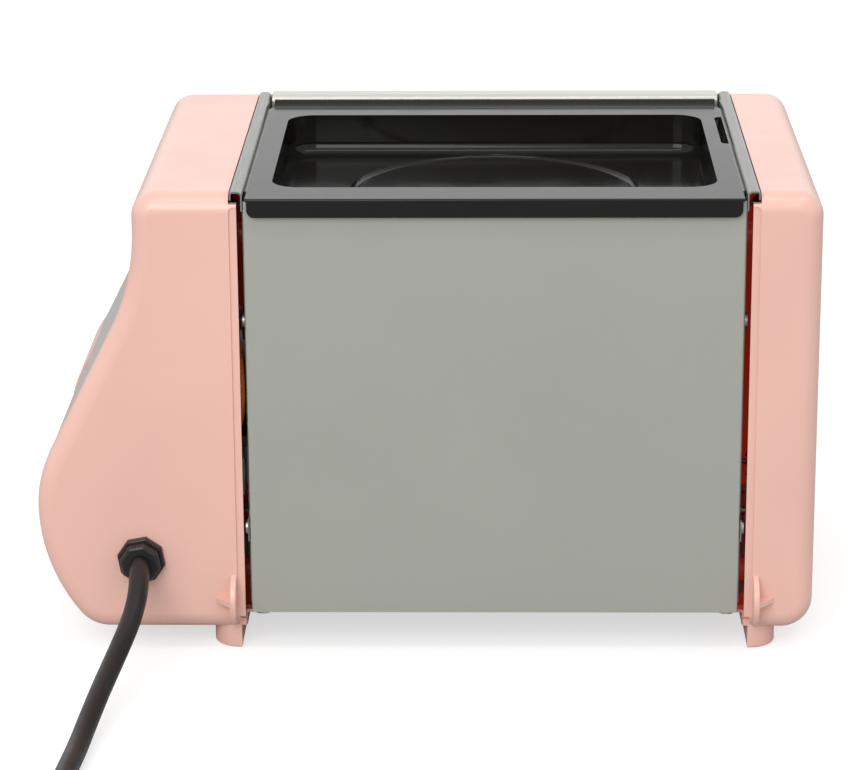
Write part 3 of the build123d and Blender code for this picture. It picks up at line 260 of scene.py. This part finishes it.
m = Mat("silver_lacquer", srgb(196, 190, 184), 0.34, 0.72, coat=0.25, coat_rough=0.15)
m.tint(m.noise(2200, 2, 0.7), 0.90, 1.08, 0.35, 0.65)
m.vary_rough(m.noise(60, 3), 0.28, 0.42)
m.bump(m.noise(1500, 2), 0.006, 0.5)
M["silver_plastic"] = m

m = Mat("grey_coated_sheet", srgb(162, 163, 155), 0.42, 0.05, coat=0.08, coat_rough=0.35)
m.tint(m.noise(9, 3), 0.975, 1.02)
m.vary_rough(m.noise(40, 4), 0.36, 0.50)
m.bump(m.noise(1300, 3, 0.6), 0.010, 0.5)
m.bump(m.noise(16, 1), 0.35, 0.10)
M["grey_sheet"] = m

# side rails: base colour darker than the front steel, painted shade
M["steel_rail"] = brushed("brushed_steel_y_painted_shade", srgb(150, 151, 146), "y", 0.27)
M["steel_x"] = brushed("brushed_steel_x", srgb(222, 221, 217), "x", 0.26)
M["steel_z"] = brushed("brushed_steel_z", srgb(196, 195, 191), "z", 0.30)

m = Mat("black_nonstick", srgb(20, 19, 17), 0.14, 0.0, ior=1.5, spec=0.27)
m.tint(m.noise(700, 2, 0.6), 0.9, 1.12, 0.4, 0.7)
m.vary_rough(m.noise(60, 3), 0.11, 0.17)
m.bump(m.noise(900, 2), 0.002, 0.3)
M["black_nonstick"] = m

M["black_plastic"] = moulded("black_plastic", srgb(24, 22, 21), 0.32, grain=1900, height=0.02)
m = Mat("black_rubber", srgb(27, 24, 23), 0.34, 0.0, spec=0.40)
m.tint(m.noise(60, 3), 0.85, 1.15)
m.vary_rough(m.noise(220, 4), 0.28, 0.42)
m.bump(m.noise(1300, 3), 0.02, 0.5)
M["black_rubber"] = m

m = Mat("chromed_wire", srgb(205, 205, 205), 0.12, 1.0)
m.tint(m.noise(120, 3), 0.92, 1.03)
m.vary_rough(m.noise(300, 3), 0.07, 0.20)
m.bump(m.noise(900, 2), 0.005, 0.4)
M["chrome_wire"] = m

m = Mat("zinc_screw", srgb(176, 177, 178), 0.30, 1.0)
m.tint(m.noise(700, 3), 0.80, 1.08)
m.vary_rough(m.noise(500, 3), 0.22, 0.42)
m.bump(m.noise(1600, 2), 0.010, 0.5)
M["steel_screw"] = m

m = Mat("glazed_ceramic", srgb(232, 228, 214), 0.28, 0.0, coat=0.2)
m.tint(m.noise(40, 3), 0.94, 1.02)
m.vary_rough(m.noise(200, 3), 0.22, 0.38)
m.bump(m.noise(700, 2), 0.015, 0.4)
M["ceramic"] = m

m = Mat("frosted_quartz", srgb(214, 210, 202), 0.34, 0.0, ior=1.46)
m.tint(m.noise(120, 2, 0.5, (0.15, 1, 1)), 0.96, 1.02)
m.vary_rough(m.noise(300, 3), 0.22, 0.40)
m.bump(m.noise(1200, 2), 0.008, 0.4)
M["quartz"] = m

m = Mat("tempered_glass", (0.90, 0.93, 0.92, 1), 0.03, 0.0, trans=0.92, ior=1.5)
m.vary_rough(m.noise(30, 3), 0.015, 0.05)
m.bump(m.noise(12, 2), 0.02, 0.10)
M["door_glass"] = m

m = Mat("black_enamel", srgb(26, 25, 25), 0.28, 0.0, coat=0.4, coat_rough=0.12)
m.tint(m.noise(30, 3), 0.85, 1.15)
m.vary_rough(m.noise(80, 4), 0.22, 0.36)
m.bump(m.noise(800, 2), 0.012, 0.4)
M["black_enamel"] = m

m = Mat("orange_sleeve", srgb(214, 108, 42), 0.75, 0.0, spec=0.3)
w = m.node("ShaderNodeTexWave")
w.wave_type, w.bands_direction = "BANDS", "DIAGONAL"
w.inputs["Scale"].default_value = 420
w.inputs["Distortion"].default_value = 1.5
m.link(m.obj, w.inputs["Vector"])
m.tint(w.outputs["Fac"], 0.62, 1.10, 0.1, 0.9)
m.vary_rough(m.noise(500, 3), 0.65, 0.85)
m.bump(w.outputs["Fac"], 0.12, 0.8)
M["orange_sleeve"] = m

m = Mat("silver_print", srgb(214, 212, 206), 0.32, 0.6)
m.tint(m.noise(300, 3), 0.93, 1.04)
m.vary_rough(m.noise(300, 3), 0.26, 0.40)
m.bump(m.noise(1500, 2), 0.004, 0.4)
M["white_pointer"] = m

m = Mat("dark_print", srgb(60, 56, 54), 0.5, 0.0)
m.tint(m.noise(300, 3), 0.85, 1.1)
m.vary_rough(m.noise(400, 3), 0.42, 0.6)
m.bump(m.noise(1500, 2), 0.004, 0.4)
M["dark_print"] = m

m = Mat("lamp_red", srgb(205, 62, 28), 0.12, 0.0, trans=0.55, ior=1.49)
m.tint(m.noise(200, 3), 0.88, 1.08)
m.vary_rough(m.noise(300, 3), 0.08, 0.18)
m.bump(m.noise(600, 2), 0.01, 0.4)
M["lamp_red"] = m

m = Mat("brass", srgb(205, 174, 104), 0.26, 1.0)
m.tint(m.noise(300, 3), 0.86, 1.05)
m.vary_rough(m.noise(500, 3), 0.18, 0.36)
m.bump(m.noise(1400, 2), 0.006, 0.5)
M["brass"] = m

# front frame steel: light base colour and low metallic so it reads bright, a painted highlight in place of the
# reflection
m = brushed("front_steel_painted_highlight", srgb(208, 206, 199), "x", 0.32, metal=0.45)
M["steel_front"] = m

SPECIAL = {"control_housing": "pink_right_painted_gap", "left_housing": "pink_left_painted_gap", "timer_knob": "knob_pink", "door_handle": "knob_pink", "front_frame": "steel_front", "crumb_tray": "steel_x", "heat_reflector": "steel_x"}
for sub in frame["record"]["subparts"]:
    node = sub["node"]
    key = SPECIAL.get(node, sub["material_slot"])
    o = N[node]
    o.data.materials.clear()
    o.data.materials.append(M[key].m)
cu.materials.append(M["black_rubber"].m)


def mesh_piece(name, verts, faces, body, key, smooth=True):
    me = bpy.data.meshes.new(name)
    me.from_pydata([tuple(v) for v in verts], [], faces)
    me.update()
    o = bpy.data.objects.new(name, me)
    scene.collection.objects.link(o)
    me.materials.append(M[key].m)
    for p in me.polygons:
        p.use_smooth = smooth
    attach(o, body)
    return o


# ------------------------------------------------------------------ clip over the cord's turns, close round the three it holds
r_in = COIL_OUT - PITCH * 2.75 - 3.6 - 0.15
r_out = COIL_OUT - PITCH * 0.75 + 3.6 + 0.15
ya, yb, zc, ri, ro = COIL_Y - r_out, COIL_Y - r_in, 6.45, 0.9, 1.75
prof = [((ya + ri - ro, 0.1), (ya, 0.1))]
for k in range(7):
    a = math.radians(180 - 15 * k)
    prof.append(((ya + ri + ro * math.cos(a), zc + ro * math.sin(a)), (ya + ri + ri * math.cos(a), zc + ri * math.sin(a))))
for k in range(7):
    a = math.radians(90 - 15 * k)
    prof.append(((yb - ri + ro * math.cos(a), zc + ro * math.sin(a)), (yb - ri + ri * math.cos(a), zc + ri * math.sin(a))))
prof.append(((yb - ri + ro, 0.1), (yb, 0.1)))
cv, cf = [], []
for x in (COIL_X - 3.6, COIL_X + 3.6):
    for (o2, i2) in prof:
        cv += [P(x, *o2), P(x, *i2)]
L = 2 * len(prof)
for k in range(len(prof) - 1):
    a, b, c, d = 2 * k, 2 * k + 1, 2 * k + 3, 2 * k + 2
    cf += [(a, b, c, d), (L + d, L + c, L + b, L + a), (a, d, L + d, L + a), (c, b, L + b, L + c)]
cf += [(0, L, L + 1, 1), (L - 2, L - 1, 2 * L - 1, 2 * L - 2)]
clip = mesh_piece("cord_clip", cv, cf, "oven", "black_plastic", smooth=False)
bm = bmesh.new()
bm.from_mesh(clip.data)
bmesh.ops.recalc_face_normals(bm, faces=bm.faces)
assert all(len(e.link_faces) == 2 for e in bm.edges), "clip is open"
bm.to_mesh(clip.data)
bm.free()
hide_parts("cord_tie")

# ------------------------------------------------------------------ print on the dial: minute marks and numbers
TX, TZ = 126.2, 54.0
DIAL_Y = -168.62
verts, faces = [], []


def plate(x0, x1, r0, r1, a):
    """A small raised printed bar on the dial's face between radii r0 and r1, at clock angle a."""
    base = len(verts)
    c, s = math.cos(a), math.sin(a)
    for y in (DIAL_Y + 0.05, DIAL_Y - 0.06):
        for (u, r) in ((x0, r0), (x1, r0), (x1, r1), (x0, r1)):
            verts.append(P(TX + r * s + u * c, y, TZ + r * c - u * s))
    b = base
    faces.extend([(b, b + 1, b + 2, b + 3), (b + 7, b + 6, b + 5, b + 4)] + [(b + i, b + 4 + i, b + 4 + (i + 1) % 4, b + (i + 1) % 4) for i in range(4)])


for k in range(0, 16):
    a = math.radians(20 * k)
    plate(-0.35, 0.35, 23.6, 26.4 if k % 5 == 0 else 25.2, a)
mesh_piece("minute_marks", verts, faces, "oven", "dark_print", smooth=False)
for k in (0, 5, 10, 15):
    a = math.radians(20 * k)
    t = bpy.data.curves.new("number", "FONT")
    t.body = str(k)
    t.size = 0.0052
    t.align_x, t.align_y = "CENTER", "CENTER"
    t.extrude = 0.00006
    tmp = bpy.data.objects.new("number", t)
    scene.collection.objects.link(tmp)
    bpy.context.view_layer.update()
    me = bpy.data.meshes.new_from_object(tmp.evaluated_get(bpy.context.evaluated_depsgraph_get()))
    bpy.data.objects.remove(tmp)
    me.transform(Matrix.Translation(P(TX + 29.3 * math.sin(a), DIAL_Y - 0.02, TZ + 29.3 * math.cos(a))) @ Matrix.Rotation(math.pi / 2, 4, "X"))
    me.name = "dial_number_%d" % k
    me.materials.clear()
    me.materials.append(M["dark_print"].m)
    o = bpy.data.objects.new("dial_number_%d" % k, me)
    scene.collection.objects.link(o)
    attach(o, "oven")

# ------------------------------------------------------------------ floor and light
bpy.ops.mesh.primitive_plane_add(size=14, location=(0, 0, -0.0002))
floor = bpy.context.object
floor.name = "floor"
fm = Mat("pale_floor", (0.46, 0.46, 0.46, 1), 0.7, 0.0, spec=0.1)
fm.b.inputs["Emission Color"].default_value = (1, 1, 1, 1)
seen = fm.node("ShaderNodeLightPath")
lift = fm.node("ShaderNodeMath", operation="MULTIPLY")
fm.link(seen.outputs["Is Camera Ray"], lift.inputs[0])
lift.inputs[1].default_value = 0.62
fm.link(lift.outputs[0], fm.b.inputs["Emission Strength"])
fm.tint(fm.noise(3, 2), 0.995, 1.005)
fm.bump(fm.noise(400, 2), 0.01, 0.1)
floor.data.materials.append(fm.m)

world = bpy.data.worlds.new("studio")
scene.world = world
world.use_nodes = True
world.node_tree.nodes["Background"].inputs["Color"].default_value = (1.0, 1.0, 1.0, 1)
world.node_tree.nodes["Background"].inputs["Strength"].default_value = 0.87


def area(name, loc, target, size, power, color=(1, 1, 1), size_y=None):
    l = bpy.data.lights.new(name, "AREA")
    l.energy = power
    l.color = color
    l.shape = "RECTANGLE"
    l.size, l.size_y = size, size_y or size
    o = bpy.data.objects.new(name, l)
    scene.collection.objects.link(o)
    o.location = loc
    o.rotation_mode = "QUATERNION"
    o.rotation_quaternion = (Vector(target) - Vector(loc)).to_track_quat("-Z", "Y")
    return o


area("key_above", (-0.10, 0.45, 1.5), (0, 0, 0.08), 1.5, 3.2, size_y=0.12)
area("fill_back", (0.5, 1.6, 1.1), (0, 0, 0.10), 1.1, 14.5)
area("far_glow", (0.0, -1.7, 0.75), (0, 0, 0.12), 2.4, 2.0, size_y=1.1)

bpy.context.view_layer.update()
